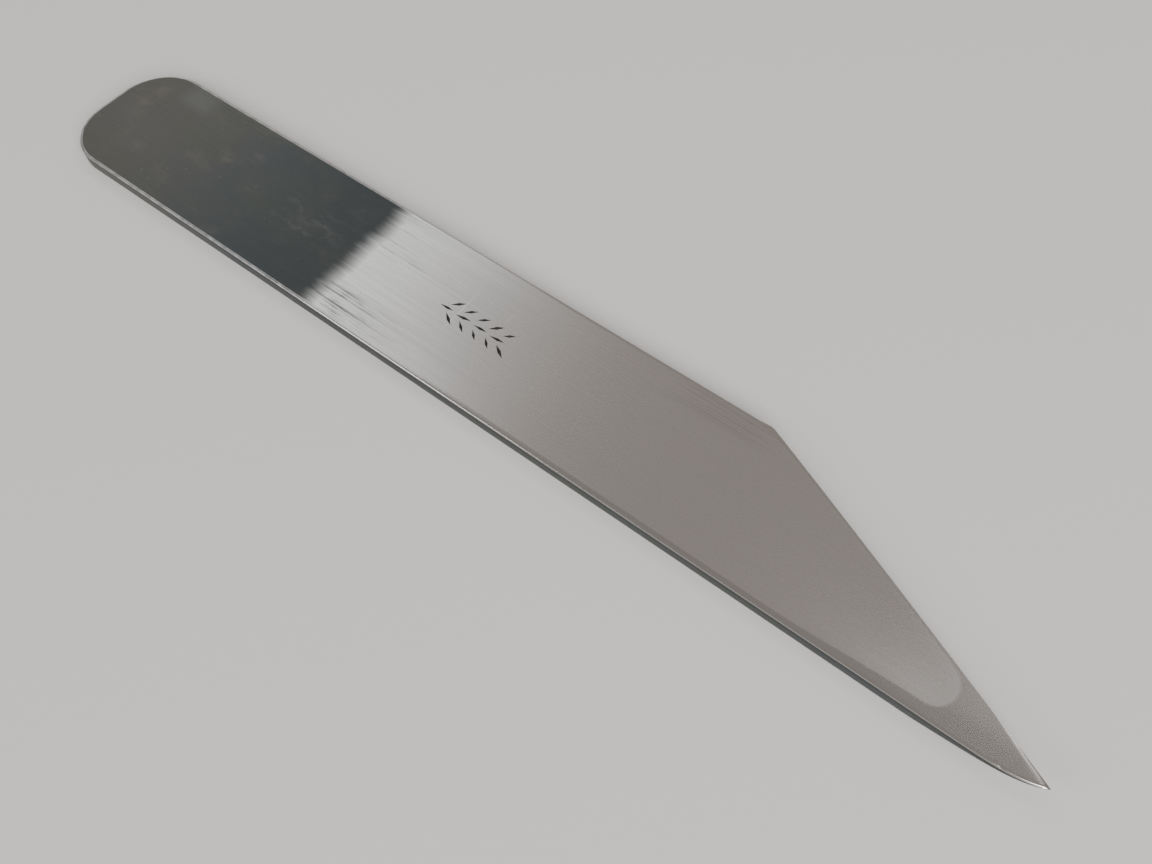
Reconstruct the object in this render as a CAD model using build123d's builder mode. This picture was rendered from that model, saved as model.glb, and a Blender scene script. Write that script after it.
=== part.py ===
"""A one-piece laminated skiving knife: a soft-iron body forge-welded to a thin hard-steel plate.

+X runs from the butt to the point, +Y to the side that the skew edge starts from, and +Z out of the
hollow-ground steel side, so the knife lies on its iron side. The origin is under the middle of its box.
"""

import math
import os

from build123d import *

# Overall sizes
length = 181.0
width = 24.0  # from the spine to the heel, where the cutting edge starts
butt_taper = 0.4  # how much narrower the knife is at the butt
thickness = 2.5
steel_thickness = 0.9

# Outline
butt_radius = 8.8
edge_run = 52.0  # length of the skew edge along the knife
edge_bow = 0.2  # how far the cutting edge stands out of its own chord
point_height = 1.5  # the point above the line of the spine
clip_run = 4.5  # the spine slopes up to the point over this length

# Grinding bevel, on the iron side
bevel_width = 9.5  # square to the cutting edge
edge_land = 0.08  # what is left of the thickness at the cutting edge

# Edge breaks round the grip and along both sides
steel_chamfer = 0.3
iron_chamfer = 0.35

# Hollow grind, on the steel side: the rim's distance from each edge of the outline
hollow_depth = 0.2
hollow_spine_margin = 0.9
hollow_heel_margin = 0.5
hollow_edge_margin = 0.5
hollow_point_margin = 13.5  # the flat left between the hollow and the point
hollow_start = 66.0  # from the butt
hollow_nose_radius = 3.0

# How far the hollow's floor lies inside its rim
floor_side_run = 3.0
floor_nose_run = 5.0
floor_start_run = 26.0

# Places that follow from the sizes above
butt_x = -length / 2
point_x = length / 2
spine_y = -width / 2
heel_y = width / 2
heel = Vector(point_x - edge_run, heel_y)
point = Vector(point_x, spine_y + point_height)
iron_thickness = thickness - steel_thickness

# The cutting edge is an arc through the heel and the point
chord = point - heel
edge_direction = chord.normalized()
outward = Vector(-edge_direction.Y, edge_direction.X)  # away from the blade, in plan
edge_middle = heel + chord / 2 + outward * edge_bow
edge_radius = (chord.length**2 / 4 + edge_bow**2) / (2 * edge_bow)
edge_centre = edge_middle - outward * edge_radius


def blade_outline(height):
    """The knife's plan, on the level plane at this height."""
    with BuildSketch(Plane.XY.offset(height)) as plan:
        with BuildLine():
            Polyline(
                (heel.X, heel.Y),
                (butt_x, heel_y - butt_taper),
                (butt_x, spine_y),
                (point_x - clip_run, spine_y),
                (point.X, point.Y),
            )
            ThreePointArc(point, edge_middle, heel)
        make_face()
        butt_corners = plan.vertices().group_by(Axis.X)[0]
        fillet(butt_corners, butt_radius)
    return plan.sketch


def grip_and_sides(edges):
    """The edges to break: all but the cutting edge and the clip beside the point."""
    return edges.filter_by_position(Axis.X, butt_x, heel.X)


def grind_bevel():
    """Cuts the long bevel: a very flat cone round the cutting edge's own centre."""
    overrun = 2.0
    slope = (thickness - edge_land) / bevel_width
    # The bevel runs on past the heel until it has left the side of the blade
    run_out = bevel_width * edge_direction.X / -edge_direction.Y
    past_point = math.degrees(overrun / edge_radius)
    heel_to_point = math.degrees(2 * math.asin(chord.length / 2 / edge_radius))
    past_heel = math.degrees((run_out + overrun) / edge_radius)
    start = (point - edge_centre).rotate(Axis.Z, -past_point).normalized()
    section = Plane(origin=edge_centre, x_dir=start, z_dir=start.cross(Vector(0, 0, 1)))
    with BuildSketch(section) as waste:
        with BuildLine():
            Polyline(
                (edge_radius - bevel_width - overrun, -slope * overrun),
                (edge_radius + overrun, thickness - edge_land + slope * overrun),
                (edge_radius + overrun, -slope * overrun),
                close=True,
            )
        make_face()
    revolve(
        waste.sketch,
        axis=Axis(edge_centre, (0, 0, 1)),
        revolution_arc=past_point + heel_to_point + past_heel,
        mode=Mode.SUBTRACT,
    )


def hollow_outline(height, side_run, nose_run, start_run):
    """The hollow's plan at this height, drawn in from its rim by the three runs."""
    spine_side = spine_y + hollow_spine_margin + side_run
    heel_side = heel_y - hollow_heel_margin - side_run
    start_x = butt_x + hollow_start + start_run
    nose_x = point_x - hollow_point_margin - nose_run
    # The skew side is a line parallel to the edge's chord
    inset = hollow_edge_margin + side_run
    on_skew = heel - outward * inset
    slope = edge_direction.Y / edge_direction.X
    skew_at_heel_side = on_skew.X + (heel_side - on_skew.Y) / slope
    skew_at_nose = on_skew.Y + (nose_x - on_skew.X) * slope
    with BuildSketch(Plane.XY.offset(height)) as plan:
        with BuildLine():
            Polyline(
                (start_x, spine_side),
                (nose_x, spine_side),
                (nose_x, skew_at_nose),
                (skew_at_heel_side, heel_side),
                (start_x, heel_side),
                close=True,
            )
        make_face()
        nose_corners = plan.vertices().group_by(Axis.X)[-1]
        fillet(nose_corners, min(hollow_nose_radius, 0.45 * (skew_at_nose - spine_side)))
    return plan.sketch


with BuildPart() as iron_body:
    add(blade_outline(0))
    extrude(amount=iron_thickness)
    lower_edges = iron_body.edges().group_by(Axis.Z)[0]
    chamfer(grip_and_sides(lower_edges), iron_chamfer)
    grind_bevel()
iron_body.part.label = "iron_body"

with BuildPart() as steel_plate:
    add(blade_outline(iron_thickness))
    extrude(amount=steel_thickness)
    upper_edges = steel_plate.edges().group_by(Axis.Z)[-1]
    chamfer(grip_and_sides(upper_edges), steel_chamfer)
    grind_bevel()
    rim = hollow_outline(thickness, 0, 0, 0)
    floor = hollow_outline(thickness - hollow_depth, floor_side_run, floor_nose_run, floor_start_run)
    loft([rim.face(), floor.face()], ruled=True, mode=Mode.SUBTRACT)
steel_plate.part.label = "steel_plate"

os.makedirs("parts", exist_ok=True)
export_step(iron_body.part, "parts/iron_body.step")
export_step(steel_plate.part, "parts/steel_plate.step")
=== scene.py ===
import math

import bpy
from mathutils import Matrix, Vector, geometry


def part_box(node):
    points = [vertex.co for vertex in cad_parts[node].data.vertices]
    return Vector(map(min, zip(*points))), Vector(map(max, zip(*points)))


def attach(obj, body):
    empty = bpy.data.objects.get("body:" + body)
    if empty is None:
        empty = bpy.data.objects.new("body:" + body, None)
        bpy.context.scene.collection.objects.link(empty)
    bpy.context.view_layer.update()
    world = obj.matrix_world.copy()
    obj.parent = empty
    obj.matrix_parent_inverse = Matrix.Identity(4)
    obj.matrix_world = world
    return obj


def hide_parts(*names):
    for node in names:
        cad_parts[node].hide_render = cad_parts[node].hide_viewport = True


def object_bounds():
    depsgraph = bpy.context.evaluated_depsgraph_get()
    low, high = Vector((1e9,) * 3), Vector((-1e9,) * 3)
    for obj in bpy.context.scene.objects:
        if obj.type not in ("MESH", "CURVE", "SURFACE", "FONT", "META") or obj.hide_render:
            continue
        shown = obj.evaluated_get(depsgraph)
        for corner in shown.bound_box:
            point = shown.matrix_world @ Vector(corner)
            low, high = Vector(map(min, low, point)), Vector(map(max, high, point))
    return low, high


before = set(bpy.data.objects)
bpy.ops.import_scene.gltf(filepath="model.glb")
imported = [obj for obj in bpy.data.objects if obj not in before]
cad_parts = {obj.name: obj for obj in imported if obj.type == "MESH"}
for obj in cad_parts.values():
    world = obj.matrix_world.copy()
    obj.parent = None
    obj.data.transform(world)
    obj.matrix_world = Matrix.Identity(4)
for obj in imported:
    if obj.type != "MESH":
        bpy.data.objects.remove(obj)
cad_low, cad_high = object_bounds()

# ---- The iron body ----
# The soft-iron back of the knife: most of its thickness, the whole underside and the upper part of the
# grinding bevel. It is forged flat with the steel already welded on, keeps the dark scale of its heat
# treatment, and is ground bright only on the bevel. Lengths are in mm until a mesh is made.

MM = 0.001
butt_x, spine_y = cad_low.x / MM, cad_low.y / MM
point_x, thickness = cad_high.x / MM, cad_high.z / MM
weld_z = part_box("iron_body")[1].z / MM
edge_run = 52.0  # length of the skew edge along the knife
point_height = 1.5  # the point above the line of the spine
heel = Vector((point_x - edge_run, cad_high.y / MM))
point = Vector((point_x, spine_y + point_height))
chord = point - heel
along_edge = chord.normalized()
outward = Vector((-along_edge.y, along_edge.x))
edge_bow = 0.2  # how far the cutting edge stands out of its own chord
edge_land = 0.04  # the thickness left at the cutting edge
bevel_width = 9.5
butt_radius = 8.8
butt_taper = 0.4
clip_run = 21.0  # the spine rises to the point over this length, most of it at the very end
iron_break = 0.35
grid_step = 1.0
# No point of a row or of the grid comes this near to a point of a line, because thin triangles collapse
row_clearance = 0.03
grid_clearance = 0.6


class Wire:
    """One socket of a node tree. Arithmetic on wires adds Math nodes."""

    def __init__(self, tree, socket):
        self.tree = tree
        self.socket = socket

    def add(self, kind, settings=None, inputs=None, output=0):
        """Adds a node of this type: its settings first, then the values or links of its sockets."""
        node = self.tree.nodes.new(kind)
        for name, value in (settings or {}).items():
            setattr(node, name, value)
        for name, value in (inputs or {}).items():
            for one in value if isinstance(value, list) else [value]:
                if isinstance(one, Wire):
                    self.tree.links.new(one.socket, node.inputs[name])
                else:
                    node.inputs[name].default_value = one
        return Wire(self.tree, node.outputs[output])

    def math(self, operation, *values):
        return self.add("ShaderNodeMath", {"operation": operation}, dict(enumerate(values)))

    def __add__(self, other):
        return self.math("ADD", self, other)

    def __radd__(self, other):
        return self.math("ADD", other, self)

    def __sub__(self, other):
        return self.math("SUBTRACT", self, other)

    def __rsub__(self, other):
        return self.math("SUBTRACT", other, self)

    def __mul__(self, other):
        return self.math("MULTIPLY", self, other)

    def __rmul__(self, other):
        return self.math("MULTIPLY", other, self)

    def __truediv__(self, other):
        return self.math("DIVIDE", self, other)

    def __rtruediv__(self, other):
        return self.math("DIVIDE", other, self)

    def __pow__(self, other):
        return self.math("POWER", self, other)

    def __gt__(self, other):
        return self.math("GREATER_THAN", self, other)

    def __abs__(self):
        return self.math("ABSOLUTE", self)

    def most(self, other):
        return self.math("MAXIMUM", self, other)

    def least(self, other):
        return self.math("MINIMUM", self, other)

    def ramp(self, low, high):
        """0 up to low, 1 from high on, and smooth between."""
        settings = {"interpolation_type": "SMOOTHSTEP"}
        return self.add("ShaderNodeMapRange", settings, {0: self, 1: low, 2: high})

    def near(self, centre, reach):
        """1 at the centre, fading to 0 at this reach either side."""
        return 1 - abs(self - centre).ramp(0.25 * reach, reach)

    def vector(self, x, y, z):
        return self.add("ShaderNodeCombineXYZ", None, {0: x, 1: y, 2: z})

    def noise(self, x, y, z=0.0, detail=2.0, rough=0.5):
        """Smooth noise from 0 to 1 about 0.5, with one lump to each unit of x, y and z."""
        sockets = {"Vector": self.vector(x, y, z), "Scale": 1.0, "Detail": detail, "Roughness": rough}
        return self.add("ShaderNodeTexNoise", None, sockets)

    def blend(self, first, second):
        """Colours or wires of colour, mixed by this wire."""
        return self.add("ShaderNodeMix", {"data_type": "RGBA"}, {0: self, 6: first, 7: second}, 2)


def at_least(value, low):
    return value.most(low) if isinstance(value, Wire) else max(value, low)


def clamped(value):
    """The value held between 0 and 1."""
    return value.most(0).least(1) if isinstance(value, Wire) else min(max(value, 0), 1)


def spine_line(x):
    """Where the spine runs: straight, then rising to the point."""
    return spine_y + (point.y - spine_y) * at_least((x - (point_x - clip_run)) / clip_run, 0) ** 7


def heel_side_line(x):
    """Where the other long side runs, drawn in a little towards the butt."""
    return heel.y - butt_taper * (heel.x - x) / (heel.x - butt_x)


def along_and_in(x, y):
    """How far a place is along the cutting edge from the heel, and how far in from it."""
    along = (x - heel.x) * along_edge.x + (y - heel.y) * along_edge.y
    inward = (heel.x - x) * outward.x + (heel.y - y) * outward.y
    share = along / chord.length
    return along, inward + 4 * edge_bow * share * (1 - share)


def in_from_sides(x, y):
    """How far in a place is from the long sides and the rounded butt."""
    from_heel_side, from_spine = heel_side_line(x) - y, y - spine_line(x)
    if isinstance(x, Wire):
        from_side = from_heel_side.least(from_spine)
    else:
        from_side = min(from_heel_side, from_spine)
    past_end = at_least(butt_radius - (x - butt_x), 0)
    past_side = at_least(butt_radius - from_side, 0)
    return butt_radius - (past_end * past_end + past_side * past_side) ** 0.5


def weld_height(along):
    """The forge weld wanders a little up and down, as hammering leaves it."""
    wave = 0.030 * math.sin(0.21 * along + 1.1) + 0.022 * math.sin(0.57 * along + 0.4)
    return weld_z + wave + 0.012 * math.sin(1.43 * along)


bevel_slope = (thickness - edge_land) / bevel_width


def weld_in(along):
    """How far in from the cutting edge the weld comes out on the bevel."""
    return (thickness - edge_land - weld_height(along)) / bevel_slope


def beside_edge(along, inward):
    """The place so far along the cutting edge and so far in from it."""
    share = along / chord.length
    return heel + along_edge * along - outward * (inward - 4 * edge_bow * share * (1 - share))


def curve_round(first, corner, last, count):
    """Points of a small curve that cuts off a corner, its two ends among them."""
    shares = [k / count for k in range(count + 1)]
    return [first * (1 - t) ** 2 + corner * (2 * t * (1 - t)) + last * t**2 for t in shares]


def spread(start, end, step):
    """Evenly spread numbers from start to end, about a step apart."""
    count = max(1, round(abs(end - start) / step))
    return [start + (end - start) * k / count for k in range(count + 1)]


def quarter(centre, first_degrees, count=26):
    turns = [math.radians(first_degrees + 90 * k / count) for k in range(count + 1)]
    return [centre + butt_radius * Vector((math.cos(a), math.sin(a))) for a in turns]


heel_curve, point_curve = 0.45, 0.14
butt_end = butt_x + butt_radius
outline = curve_round(
    Vector((point_x - point_curve, spine_line(point_x - point_curve))),
    point,
    beside_edge(chord.length - point_curve, 0),
    6,
)
outline += [beside_edge(a, 0) for a in spread(chord.length - point_curve, heel_curve, 0.8)[1:-1]]
outline += curve_round(
    beside_edge(heel_curve, 0), heel, Vector((heel.x - heel_curve, heel_side_line(heel.x - heel_curve))), 6
)
outline += [Vector((x, heel_side_line(x))) for x in spread(heel.x - heel_curve, butt_end, 1.0)[1:-1]]
outline += quarter(Vector((butt_end, heel_side_line(butt_end) - butt_radius)), 90)
butt_straight = spread(heel_side_line(butt_end) - butt_radius, spine_y + butt_radius, 1.0)
outline += [Vector((butt_x, y)) for y in butt_straight[1:-1]]
outline += quarter(Vector((butt_end, spine_y + butt_radius)), 180)
outline += [Vector((x, spine_line(x))) for x in spread(butt_end, point_x - clip_run, 1.0)[1:-1]]
outline += [Vector((x, spine_line(x))) for x in spread(point_x - clip_run, point_x - point_curve, 0.5)[:-1]]


def clear_of(lines, place, distance):
    return all((place - other).length > distance for line in lines for other in line)


def flat_sheet(name, insets, lines, keep):
    """A sheet of triangles over the knife's plan, at the height of the weld.

    It has rows of points at these distances in from the outline and edges on these lines, and keeps the
    triangles whose middles pass the test.
    """
    points = list(outline)
    edges = [(k, (k + 1) % len(points)) for k in range(len(points))]
    for line in lines:
        edges += [(len(points) + k, len(points) + k + 1) for k in range(len(line) - 1)]
        points += line
    for inset in insets:
        for k, place in enumerate(outline):
            run = outline[(k + 1) % len(outline)] - outline[k - 1]
            moved = place - Vector((run.y, -run.x)).normalized() * inset
            inside = min(in_from_sides(*moved), along_and_in(*moved)[1]) > 0.97 * inset
            if inside and clear_of(lines, moved, row_clearance):
                points.append(moved)
    for x in spread(butt_x, point_x, grid_step):
        for y in spread(spine_y, heel.y, grid_step):
            inside = min(in_from_sides(x, y), along_and_in(x, y)[1]) > insets[-1] + 0.4 * grid_step
            if inside and clear_of(lines, Vector((x, y)), grid_clearance):
                points.append(Vector((x, y)))
    places, _, triangles = geometry.delaunay_2d_cdt(points, edges, [], 1, 1e-5, False)[:3]
    kept = []
    for triangle in triangles:
        middle = (places[triangle[0]] + places[triangle[1]] + places[triangle[2]]) / 3
        along, inward = along_and_in(*middle)
        if min(in_from_sides(*middle), inward) > 0 and keep(along, inward):
            kept.append(triangle)
    used = sorted({corner for triangle in kept for corner in triangle})
    number = {corner: k for k, corner in enumerate(used)}
    heights = [weld_height(along_and_in(*places[corner])[0]) for corner in used]
    corners = [(places[c].x * MM, places[c].y * MM, z * MM) for c, z in zip(used, heights)]
    mesh = bpy.data.meshes.new(name)
    mesh.from_pydata(corners, [], [[number[c] for c in t] for t in kept], shade_flat=False)
    return mesh


def in_mm(position):
    """The three coordinates of a vector in metres, in mm."""
    scaled = position.add("ShaderNodeVectorMath", {"operation": "SCALE"}, {0: position, "Scale": 1 / MM})
    return [scaled.add("ShaderNodeSeparateXYZ", None, {0: scaled}, k) for k in range(3)]


def rounded_drop(inside, radius):
    """How far a quarter-round of this radius has fallen, so far in from the edge."""
    rest = at_least(1 - inside / radius, 0)
    return radius * (1 - at_least(1 - rest * rest, 0) ** 0.5)


def make_layer(name, sheet, sizes, heights, material, cut=None):
    """Gives a sheet its two faces and its sides with a node tree, and returns the finished piece.

    heights gets the place, the weld's height and the named sizes as wires, and returns the lower and the
    upper face's height. cut may take a tool's shape out of the result.
    """
    tree = bpy.data.node_groups.new(name, "GeometryNodeTree")
    tree.interface.new_socket("Geometry", in_out="OUTPUT", socket_type="NodeSocketGeometry")
    tree.interface.new_socket("Geometry", in_out="INPUT", socket_type="NodeSocketGeometry")
    sockets = {}
    for title in sizes:
        sockets[title] = tree.interface.new_socket(title, in_out="INPUT", socket_type="NodeSocketFloat")
    entry = tree.nodes.new("NodeGroupInput")
    flat = Wire(tree, entry.outputs["Geometry"])
    size = {title: Wire(tree, entry.outputs[title]) for title in sizes}
    # The upper face is first raised a whole metre, which tells it from the lower one
    lift = {"Mesh": flat, "Offset": flat.vector(0, 0, 1), "Offset Scale": 1.0, "Individual": False}
    raised = flat.add("GeometryNodeExtrudeMesh", {"mode": "FACES"}, lift)
    underside = flat.add("GeometryNodeFlipFaces", None, {"Mesh": flat})
    shell = flat.add("GeometryNodeJoinGeometry", None, {"Geometry": [raised, underside]})
    shell = flat.add("GeometryNodeMergeByDistance", None, {"Geometry": shell, "Distance": 1e-6})
    position = flat.add("GeometryNodeInputPosition")
    x, y, z = in_mm(position)
    upper_face = z > 0.5 / MM
    lower, upper = heights(x, y, z - upper_face / MM, size)
    height = lower + (upper - lower) * upper_face
    place = flat.vector(x * MM, y * MM, height * MM)
    shell = flat.add("GeometryNodeSetPosition", None, {"Geometry": shell, "Position": place})
    shell = flat.add("GeometryNodeMergeByDistance", None, {"Geometry": shell, "Distance": 1e-6})
    if cut:
        shell = cut(shell, size)
    bend = flat.add("GeometryNodeInputMeshEdgeAngle")
    crease = {"Geometry": shell, "Selection": bend > math.radians(28), "Shade Smooth": False}
    shell = flat.add("GeometryNodeSetShadeSmooth", {"domain": "EDGE"}, crease)
    shell = flat.add("GeometryNodeRealizeInstances", None, {"Geometry": shell})
    shell = flat.add("GeometryNodeSetMaterial", None, {"Geometry": shell, "Material": material})
    leave = tree.nodes.new("NodeGroupOutput")
    tree.links.new(shell.socket, leave.inputs[0])

    piece = bpy.data.objects.new(name, sheet)
    bpy.context.scene.collection.objects.link(piece)
    modifier = piece.modifiers.new("layer", "NODES")
    modifier.node_group = tree
    for title, value in sizes.items():
        modifier[sockets[title].identifier] = value
    evaluated = piece.evaluated_get(bpy.context.evaluated_depsgraph_get())
    mesh = bpy.data.meshes.new_from_object(evaluated)
    piece.modifiers.clear()
    piece.data = mesh
    return piece


def iron_heights(x, y, weld, size):
    inward = along_and_in(x, y)[1]
    slope = (size["Thickness"] - size["Edge land"]) / size["Bevel width"]
    bevel = size["Thickness"] - size["Edge land"] - inward * slope
    return bevel.most(rounded_drop(in_from_sides(x, y), size["Edge break"])), weld


def start_material(name):
    """A new material, with its shader and the wires of the place in mm."""
    material = bpy.data.materials.new(name)
    material.use_nodes = True
    tree = material.node_tree
    coordinates = tree.nodes.new("ShaderNodeTexCoord")
    place = in_mm(Wire(tree, coordinates.outputs["Object"]))
    return material, tree.nodes["Principled BSDF"], place


def feed(shader, colour, rough, metallic, relief, relief_height):
    """Links what changes over the surface, with the relief's height in mm."""
    sockets = {"Height": relief, "Distance": relief_height * MM, "Strength": 1.0}
    bump = relief.add("ShaderNodeBump", None, sockets)
    links = (("Base Color", colour), ("Roughness", rough), ("Metallic", metallic), ("Normal", bump))
    for title, wire in links:
        wire.tree.links.new(wire.socket, shader.inputs[title])


scale_blue = (0.073, 0.083, 0.089, 1)
scale_green = (0.084, 0.097, 0.091, 1)
scale_brown = (0.125, 0.120, 0.108, 1)
scale_pale = (0.190, 0.200, 0.198, 1)
iron_bright = (0.46, 0.455, 0.45, 1)
iron_haze = (0.34, 0.335, 0.33, 1)


def dark_scale(x, y, z):
    """The satin scale left by the heat treatment: its colour, its roughness and its relief."""
    clouds = x.noise(x * 0.055, y * 0.10, z * 0.3, 3.0, 0.55)
    shadows = x.noise(x * 0.16, y * 0.21, z * 0.3 + 7.0, 4.0, 0.6)
    grain = x.noise(x * 2.2, y * 2.6, z * 2.6, 3.0, 0.6)
    to_butt = 1 - (x - butt_x).ramp(4.0, 46.0)
    colour = clouds.ramp(0.42, 0.62).blend(scale_blue, scale_green)
    colour = (0.75 * to_butt + 0.32 * shadows.ramp(0.48, 0.74)).least(1).blend(colour, scale_brown)
    colour = (0.22 * shadows.ramp(0.56, 0.80)).blend(colour, scale_pale)
    rough = 0.40 + 0.10 * clouds + 0.06 * grain
    return colour, rough, 0.5 * grain + 0.5 * shadows


def strokes(x, across, length, width, seed=0.0):
    """Long thin marks, as a grinding belt or a stone leaves them."""
    return x.noise(x / length, across / width, seed, 2.0, 0.55)


weld_from_edge = 3.3  # about where the weld comes out on the bevel
scale_relief_height = 0.004

iron_finish, iron_shader, (x, y, z) = start_material("iron_finish")
colour, rough, relief = dark_scale(x, y, z)
along, inward = along_and_in(x, y)
bevel_top = thickness - edge_land - bevel_slope * inward
past_shoulder = inward.ramp(bevel_width - 0.05, bevel_width + 0.05)
on_bevel = (1 - abs(z - bevel_top).ramp(0.01, 0.03)) * (1 - past_shoulder)
honing = strokes(inward, along, 14.0, 0.16)
coarse_honing = strokes(inward, along, 22.0, 0.7, 3.0)
haze = x.noise(along * 0.35, inward * 0.8, 2.0, 4.0, 0.6)
near_weld = 1 - (inward - weld_from_edge).ramp(0.2, 1.6)
ground = (0.35 * near_weld + 0.9 * haze.ramp(0.45, 0.75)).least(1).blend(iron_bright, iron_haze)
colour = on_bevel.blend(colour, ground)
rough = rough + on_bevel * (0.30 + 0.14 * honing + 0.06 * haze - rough)
worn = (1 - in_from_sides(x, y).ramp(0.15, 0.45)) * (1 - z.ramp(0.25, 0.5)) * (1 - on_bevel)
colour = (worn * (0.22 + 0.30 * x.noise(x * 0.3, y * 0.3).ramp(0.3, 0.7))).blend(colour, iron_bright)
relief = relief * (1 - on_bevel) + on_bevel * (0.5 * honing + 0.5 * coarse_honing)
iron_shader.inputs["Specular IOR Level"].default_value = 0.5
feed(iron_shader, colour, rough, 0.84 + 0.12 * on_bevel, relief, scale_relief_height)

weld_line = [beside_edge(a, weld_in(a)) for a in spread(-20.0, chord.length + 10.0, 0.8)]
shoulder_line = [beside_edge(a, bevel_width) for a in spread(-30.0, chord.length + 10.0, 1.0)]
iron_sheet = flat_sheet(
    "iron_body",
    [0.027, 0.10, 0.22, 0.35, 0.50, 0.80],
    [weld_line, shoulder_line],
    lambda along, inward: inward > weld_in(along),
)
iron_sizes = {
    "Thickness": thickness,
    "Edge land": edge_land,
    "Bevel width": bevel_width,
    "Edge break": iron_break,
}
iron = make_layer("iron_back", iron_sheet, iron_sizes, iron_heights, iron_finish)
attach(iron, "root")
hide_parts("iron_body")

# ---- The steel plate ----
# The thin hard-steel layer that carries the cutting edge. Its face is ground bright lengthwise, hollowed
# on a wheel so that only a narrow rim touches the stone, and left dark over the grip. The maker strikes a
# small sprig of chisel nicks into it before it is hardened.

steel_break = 0.3
hollow_depth = 0.3
rim_softness = 0.06
hollow_start, hollow_start_run = butt_x + 62.0, 34.0
rim_spine, rim_side, rim_edge = 0.75, 0.5, 0.30
rim_drift = 0.9  # the rim draws away from the spine towards the hollow's nose
rim_drift_run = 22.0
nose_radius = 3.3
nose_run = 13.0
finish_x = butt_x + 59.5
nose_bow = 0.13  # how far the cutting edge bows out beside the hollow's nose
nose_y = spine_y + rim_spine + rim_drift + nose_radius
nose_x = heel.x - (nose_radius + rim_edge - nose_bow - (heel.y - nose_y) * outward.y) / outward.x
nose_end = nose_x + nose_radius
hollow_half = (heel.y - rim_side - spine_y - rim_spine) / 2


def spine_rim(x):
    """Where the hollow's rim runs on the side of the spine."""
    drift = clamped((x - (nose_x - rim_drift_run)) / rim_drift_run)
    return spine_y + rim_spine + rim_drift * drift * drift * (3 - 2 * drift)


def hollow_share(x, y):
    """How deep the hollow is: 1 in the middle of the blade, 0 at the rim and less beyond."""
    from_spine = y - spine_rim(x)
    from_edge = along_and_in(x, y)[1] - rim_edge
    from_side = heel_side_line(x) - rim_side - y
    from_far = from_edge.math("SMOOTH_MIN", from_edge, from_side, 3.0)
    right, up = x - nose_x, y - nose_y
    past_nose = right.least(right * along_edge.x + up * along_edge.y) > 0
    strip = 2 * from_spine * from_far / (from_spine + from_far).most(0.5)
    nose = (nose_radius * nose_radius - right * right - up * up) / nose_radius
    across = (strip + past_nose * (nose - strip)) / hollow_half
    to_nose = ((nose_end - x) / nose_run).most(0).least(1)
    return across * (1 - (1 - to_nose) * (1 - to_nose) * 0.75)


def steel_heights(x, y, weld, size):
    inward = along_and_in(x, y)[1]
    slope = (size["Thickness"] - size["Edge land"]) / size["Bevel width"]
    left = size["Edge land"] + inward * slope
    fall = rounded_drop(in_from_sides(x, y), size["Edge break"]).least(left * 0.8)
    lower = weld.most(size["Thickness"] - left)
    start = (x - hollow_start).ramp(0.0, hollow_start_run)
    share = hollow_share(x, y).most(0)
    # The wheel leaves no crease at the rim
    hollow = share * share / (share + rim_softness) * start * size["Hollow depth"]
    # A few strokes on a stone have laid a narrow facet on the last of the edge
    facet = (0.06 * ((x - (point_x - 9.0)).most(0) * 0.09 - inward).most(0)).least(left * 0.5)
    hammered = (x.noise(x * 0.07, y * 0.12, 3.0) - 0.76) * (1 - (x - butt_x).ramp(40.0, 62.0)) * 0.05
    return lower, size["Thickness"] - fall - hollow - facet + hammered * in_from_sides(x, y).ramp(0.3, 3.0)


scale_deep = (0.045, 0.051, 0.052, 1)
# The next two colours are ground steel with a painted reflection tint: cool where the key light is
# mirrored, warm where the room is.
steel_cool_reflection_tint = (0.600, 0.600, 0.595, 1)
steel_warm_reflection_tint = (0.590, 0.565, 0.545, 1)
steel_dull = (0.30, 0.30, 0.30, 1)
steel_polished = (0.62, 0.62, 0.62, 1)
# The next colour is a painted highlight, laid on the face near the hollow's nose.
painted_highlight_white = (0.76, 0.745, 0.735, 1)
struck_dark = (0.030, 0.029, 0.028, 1)
heel_stain = (0.36, 0.325, 0.345, 1)

grinding_relief_height = 0.00035

steel_finish, steel_shader, (x, y, z) = start_material("steel_finish")
from_butt = x - butt_x
along, inward = along_and_in(x, y)
sides = in_from_sides(x, y)
# The grinding lines run lengthwise, in three widths
broad = strokes(x, y, 160.0, 1.4, 1.0)
medium = strokes(x, y, 80.0, 0.42, 2.0)
fine = strokes(x, y, 30.0, 0.13, 3.0)
lines = 0.35 * broad + 0.35 * medium + 0.30 * fine

# Where the belt stopped: a feathered border, with some scale left in streaks beyond it
wander = x.noise(0.0 * x, y * 0.23, 5.0, 3.0) - 0.5
ragged = strokes(x, y, 5.0, 0.62, 8.0) - 0.5
past_border = x - finish_x - 2.0 * wander - 1.2 * ragged - 1.3 * (fine - 0.5) - 1.6 * (broad - 0.5)
scale_left = (1 - past_border.ramp(-1.9, 2.2)) ** 0.6
dashes = strokes(x, y, 50.0, 0.20, 11.0) + 0.45 * (strokes(x, y, 4.0, 0.9, 12.0) - 0.5)
spine_streaks = dashes.ramp(0.46, 0.66) * y.near(spine_y + 3.4, 4.2) * (1 - from_butt.ramp(61.0, 81.0))
heel_streaks = dashes.ramp(0.50, 0.68) * y.near(heel.y - 2.6, 3.6) * (1 - from_butt.ramp(60.0, 71.0))
middle_streaks = dashes.ramp(0.56, 0.70) * y.near(3.6, 3.4) * from_butt.near(66.0, 11.0)
all_streaks = dashes.ramp(0.54, 0.74) * (1 - from_butt.ramp(60.0, 70.0))
streaks = 0.70 * spine_streaks + 0.30 * heel_streaks + 0.36 * middle_streaks + 0.25 * all_streaks
streaks = streaks.least(0.8)

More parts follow.
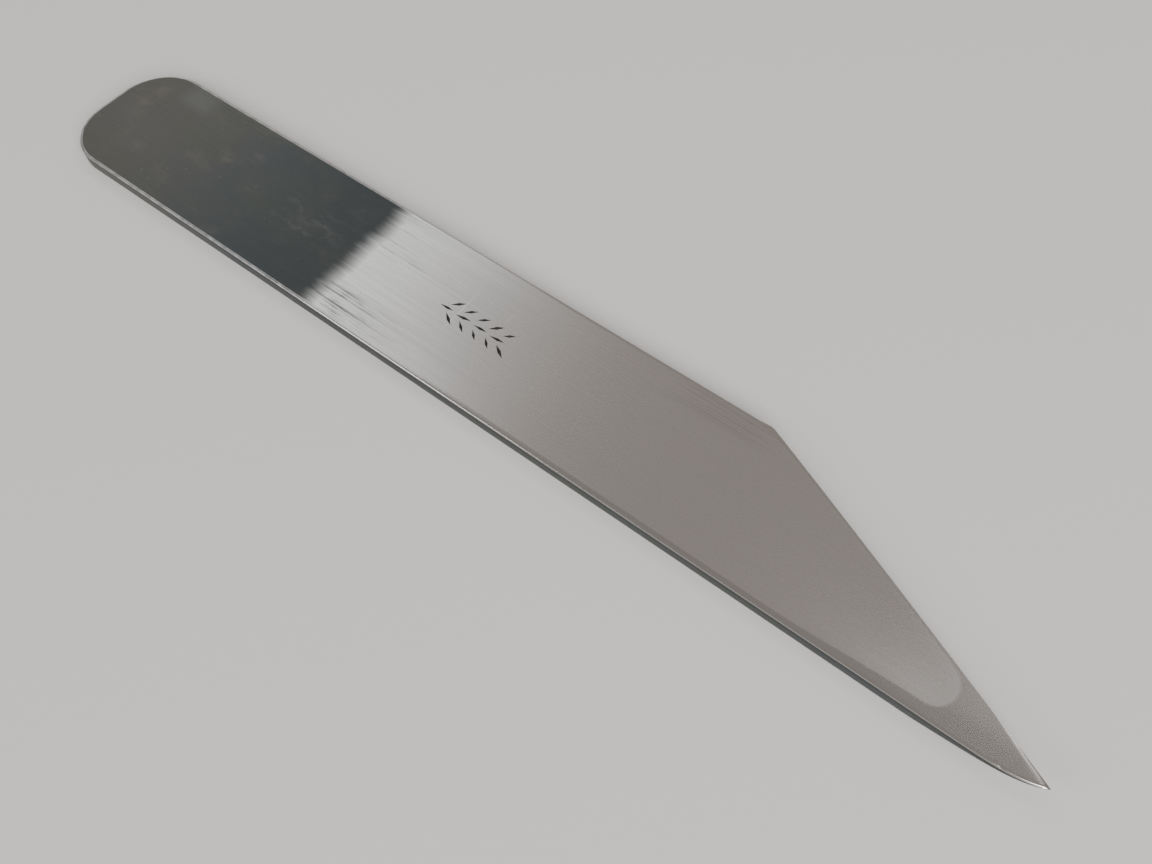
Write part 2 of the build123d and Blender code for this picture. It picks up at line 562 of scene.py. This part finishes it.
hollow = hollow_share(x, y) * hollow_half
rim_land = (1 - hollow.ramp(-0.03, 0.35)) * from_butt.ramp(74.0, 92.0)
toward_spine = 1 - 0.85 * y.ramp(spine_y + 1.9, spine_y + 4.6)
# Painted highlight: the face is painted whiter towards the hollow's nose, where the rising end of the
# hollow catches the light.
nose_highlight_painted = (x - (nose_end - 15.0)).ramp(0.0, 14.0) * (1 - rim_land)
# Painted reflection: the ground face goes from cool near the grip to warm towards the point, as the cool
# key light and the warm room are mirrored there.
bright = from_butt.ramp(60.0, 105.0).blend(steel_cool_reflection_tint, steel_warm_reflection_tint)
fading = 0.26 - 0.17 * from_butt.ramp(70.0, 100.0)
bright = (fading * (1 - lines.ramp(0.36, 0.58))).blend(bright, steel_dull)
# Painted highlight: whiter towards the hollow's nose.
bright = (nose_highlight_painted * 0.5).blend(bright, painted_highlight_white)
stain = strokes(x, y, 45.0, 0.26, 21.0).ramp(0.50, 0.62) * from_butt.near(123.0, 11.0) * y.near(9.4, 2.8)
bright = (stain * 0.50).blend(bright, heel_stain)
long_scratch = from_butt.near(80.1, 0.16) * y.near(1.4, 5.6)
cross_scratch = long_scratch + from_butt.near(87.0, 0.14) * y.near(4.5, 1.4)
bright = (cross_scratch * 0.55).least(1).blend(bright, (0.80, 0.80, 0.80, 1))
bright = (rim_land * toward_spine * 0.30).blend(bright, steel_dull)
rough_bright = 0.275 + 0.08 * (0.5 - lines) - 0.06 * rim_land

scale_colour, scale_rough, scale_relief = dark_scale(x, y, z)
cloudy = x.noise(x * 0.5, y * 0.8, 4.0, 3.0).ramp(0.48, 0.66)
smudge = cloudy * from_butt.near(49.0, 10.0) * y.near(0.0, 4.5)
smudge = smudge * 0.35 + 0.30 * from_butt.near(13.0, 5.0) * y.near(9.0, 3.4)
speck = x.noise(x * 1.5, y * 1.5, 9.0, 0.0).ramp(0.80, 0.83) * 0.35
scale_colour = (smudge + speck).least(1).blend(scale_colour, scale_pale)
scale_colour = (0.45 * from_butt.ramp(24.0, 58.0)).blend(scale_colour, scale_deep)
scale_colour = (0.22 * medium.ramp(0.52, 0.66)).blend(scale_colour, scale_blue)

side_wall = (1 - sides.ramp(0.03, 0.08)) * (1 - z.ramp(thickness - 0.30, thickness - 0.16))
under_scale = scale_left.most(streaks).most(side_wall)
worn_edge = (1 - sides.ramp(0.36, 0.54)) * (1 - side_wall) * z.ramp(thickness - 0.30, thickness - 0.18)
wear = worn_edge * (0.42 + 0.30 * x.noise(x * 0.7, y * 0.7, 6.0).ramp(0.35, 0.65))
under_scale = under_scale * (1 - wear)
colour = under_scale.blend(bright, scale_colour)
rough = rough_bright + under_scale * (scale_rough - rough_bright)
relief = lines + under_scale * (scale_relief - lines)

# Underneath, the bevel's narrow band of steel is honed nearly to a mirror
on_bevel = 1 - abs(z - (thickness - edge_land - bevel_slope * inward)).ramp(0.008, 0.018)
honing = strokes(inward, along, 14.0, 0.16)
colour = on_bevel.blend(colour, steel_polished)
rough = rough + on_bevel * (0.15 + 0.08 * honing - rough)
relief = relief + on_bevel * (0.5 * honing - relief)

struck = x.add("ShaderNodeAttribute", {"attribute_name": "struck"}, None, "Fac")
colour = struck.blend(colour, struck_dark)
rough = rough + struck * (0.6 - rough)
metallic = 1 - 0.14 * under_scale - 0.5 * struck
feed(steel_shader, colour, rough, metallic, relief, grinding_relief_height)

mark_x, mark_y = butt_x + 83.7, 0.5
nick_depth = 0.13
nick_above = 0.03


def strike_sprig(shell, size):
    """Cuts the sprig: a stem of short strokes with a pair of leaves beside each gap."""
    reach = nick_depth + nick_above
    spread_by = reach / nick_depth
    cone = {
        "Vertices": 4,
        "Radius Top": 0.5 * MM * spread_by,
        "Radius Bottom": 0.0,
        "Depth": reach * MM,
    }
    nick = shell.add("GeometryNodeMeshCone", {"fill_type": "NGON"}, cone)
    groups = (
        # count, first x, first y, step, turn in degrees, length, width
        (4, -5.6, 0.0, 3.3, 3.0, 2.5, 0.46),
        (5, -4.6, 1.55, 2.5, 38.0, 2.4, 0.52),
        (5, -4.1, -1.55, 2.5, -38.0, 2.4, 0.52),
    )
    struck_points = []
    for number, (count, first_x, first_y, step, turn, length, width) in enumerate(groups):
        start = ((mark_x + first_x) * MM, (mark_y + first_y) * MM, 0)
        line = {"Count": count, "Start Location": start, "Offset": (step * MM, 0, 0)}
        row = shell.add("GeometryNodeMeshLine", None, line)
        position = shell.add("GeometryNodeInputPosition")
        x, y, _ = in_mm(position)
        surface = steel_heights(x, y, x * 0, size)[1]
        place = shell.vector(x * MM, y * MM, (surface - nick_depth) * MM)
        row = shell.add("GeometryNodeSetPosition", None, {"Geometry": row, "Position": place})
        seeded = {"Seed": 5 + number}
        number_type = {"data_type": "FLOAT"}
        uneven = shell.add("FunctionNodeRandomValue", number_type, {2: 0.86, 3: 1.12, **seeded}, 1)
        lean = shell.add("FunctionNodeRandomValue", number_type, {2: -0.10, 3: 0.10, **seeded}, 1)
        sockets = {
            "Points": row,
            "Instance": nick,
            "Rotation": shell.vector(0, 0, lean + math.radians(turn)),
            "Scale": shell.vector(uneven * length, uneven * width, 1),
        }
        struck_points.append(shell.add("GeometryNodeInstanceOnPoints", None, sockets))
    nicks = shell.add("GeometryNodeJoinGeometry", None, {"Geometry": struck_points})
    nicks = shell.add("GeometryNodeRealizeInstances", None, {"Geometry": nicks})
    stored = {"Geometry": nicks, "Name": "struck", "Value": 1.0}
    nicks = shell.add("GeometryNodeStoreNamedAttribute", {"data_type": "FLOAT", "domain": "FACE"}, stored)
    both = {"Mesh 1": shell, "Mesh 2": [nicks]}
    return shell.add("GeometryNodeMeshBoolean", {"operation": "DIFFERENCE", "solver": "MANIFOLD"}, both)


# The hollow's rim, so that the sheet has an edge all along it
rim = [Vector((x, spine_rim(x))) for x in spread(hollow_start, nose_x, 1.0)]
tangent = math.degrees(math.atan2(outward.y, outward.x))
for k in range(1, 25):
    turn = math.radians(-90 + (tangent + 90) * k / 24)
    rim.append(Vector((nose_x, nose_y)) + nose_radius * Vector((math.cos(turn), math.sin(turn))))
steel_sheet = flat_sheet(
    "steel_plate",
    [0.023, 0.088, 0.185, 0.30, 0.45, 0.70],
    [weld_line, rim],
    lambda along, inward: True,
)
steel_sizes = {
    "Thickness": thickness,
    "Edge land": edge_land,
    "Bevel width": bevel_width,
    "Edge break": steel_break,
    "Hollow depth": hollow_depth,
}
steel = make_layer("steel_face", steel_sheet, steel_sizes, steel_heights, steel_finish, strike_sprig)
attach(steel, "root")
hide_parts("steel_plate")

# ---- The floor ----
# A plain pale sheet that the knife lies on, wide enough to fill the view behind it. It isn't part of the
# knife.

floor_half = 2.0
floor_mesh = bpy.data.meshes.new("floor")
floor_corners = [(x * floor_half, y * floor_half, 0) for x, y in ((-1, -1), (1, -1), (1, 1), (-1, 1))]
floor_mesh.from_pydata(floor_corners, [], [(0, 1, 2, 3)])
floor = bpy.data.objects.new("floor", floor_mesh)
bpy.context.scene.collection.objects.link(floor)
floor_material = bpy.data.materials.new("floor_pale")
floor_material.use_nodes = True
floor_shader = floor_material.node_tree.nodes["Principled BSDF"]
floor_shader.inputs["Base Color"].default_value = (0.78, 0.77, 0.76, 1)
floor_shader.inputs["Roughness"].default_value = 0.85
floor_shader.inputs["Specular IOR Level"].default_value = 0.2
floor_mesh.materials.append(floor_material)

# ---- The lights ----
# One large soft source beyond the butt, which the face near the grip reflects, a wide fill from the
# point's side, two small soft ones for the side walls and the cutting edge, and a dim warm room.


def soft_light(name, direction, distance, width, watts, colour):
    lamp = bpy.data.lights.new(name, "AREA")
    lamp.shape = "DISK"
    lamp.size = width
    lamp.energy = watts
    lamp.color = colour
    light = bpy.data.objects.new(name, lamp)
    bpy.context.scene.collection.objects.link(light)
    towards = Vector(direction).normalized()
    light.location = towards * distance
    light.rotation_euler = towards.to_track_quat("Z", "Y").to_euler()


soft_light("key", (-0.67, 0.335, 0.66), 0.80, 0.42, 0.64, (0.97, 0.99, 1.0))
soft_light("fill", (0.75, -0.45, 0.60), 1.2, 0.9, 15.0, (1.0, 0.985, 0.97))
soft_light("spine_side", (-0.55, -0.75, 0.40), 1.2, 0.50, 3.2, (1.0, 1.0, 1.0))
soft_light("edge_side", (0.24, 0.58, 0.78), 1.2, 0.30, 0.6, (1.0, 1.0, 1.0))

world = bpy.data.worlds.new("room")
world.use_nodes = True
world.node_tree.nodes["Background"].inputs["Color"].default_value = (0.375, 0.346, 0.326, 1)
world.node_tree.nodes["Background"].inputs["Strength"].default_value = 1.0
bpy.context.scene.world = world

# ---- The camera ----
# It looks down on the knife from above the point's half, on the spine's side, and is rolled by a few
# degrees.

camera_data = bpy.data.cameras.new("camera")
camera_data.sensor_width = 36.0
camera_data.lens = 32.8
camera_data.clip_start = 0.01
camera = bpy.data.objects.new("camera", camera_data)
bpy.context.scene.collection.objects.link(camera)
eye = Vector((0.0654, -0.0639, 0.1294))
target = Vector((0.0168, -0.0053, 0.0025))
turned = (target - eye).to_track_quat("-Z", "Y").to_matrix() @ Matrix.Rotation(math.radians(-2.37), 3, "Z")
camera.matrix_world = Matrix.Translation(eye) @ turned.to_4x4()
bpy.context.scene.camera = camera
